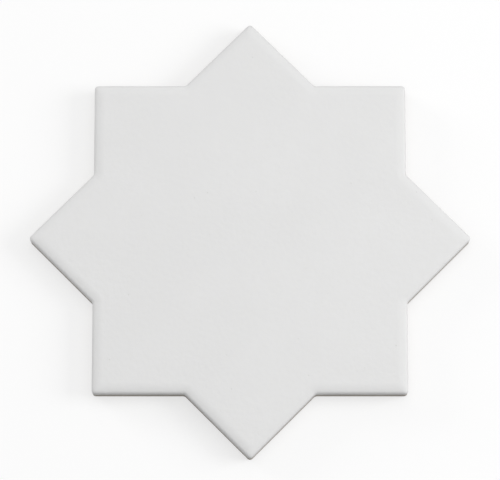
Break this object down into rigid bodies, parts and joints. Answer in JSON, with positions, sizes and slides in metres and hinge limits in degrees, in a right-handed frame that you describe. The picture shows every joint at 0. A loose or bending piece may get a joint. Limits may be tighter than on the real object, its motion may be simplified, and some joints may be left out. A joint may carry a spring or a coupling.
{
  "type": "star-shaped porcelain tile",
  "caption": "Flat porcelain tile in the outline of a regular star, with a softly rounded cushion edge, a matte white face and a keyed back, laid in a pattern with cross tiles.",
  "frame": {"origin": "middle of the tile's back, on the plane that it is bedded on", "axes": "+Z out of the glazed face; +X and +Y through two neighbouring points of the turned square, so a point of the star lies on each of +X, +Y, -X and -Y"},
  "size_m": [0.15, 0.15, 0.0085],
  "materials": {
    "porcelain": "matte white glaze"
  },
  "bodies": {
    "root": {"star_tile": "porcelain"}
  },
  "joints": []
}
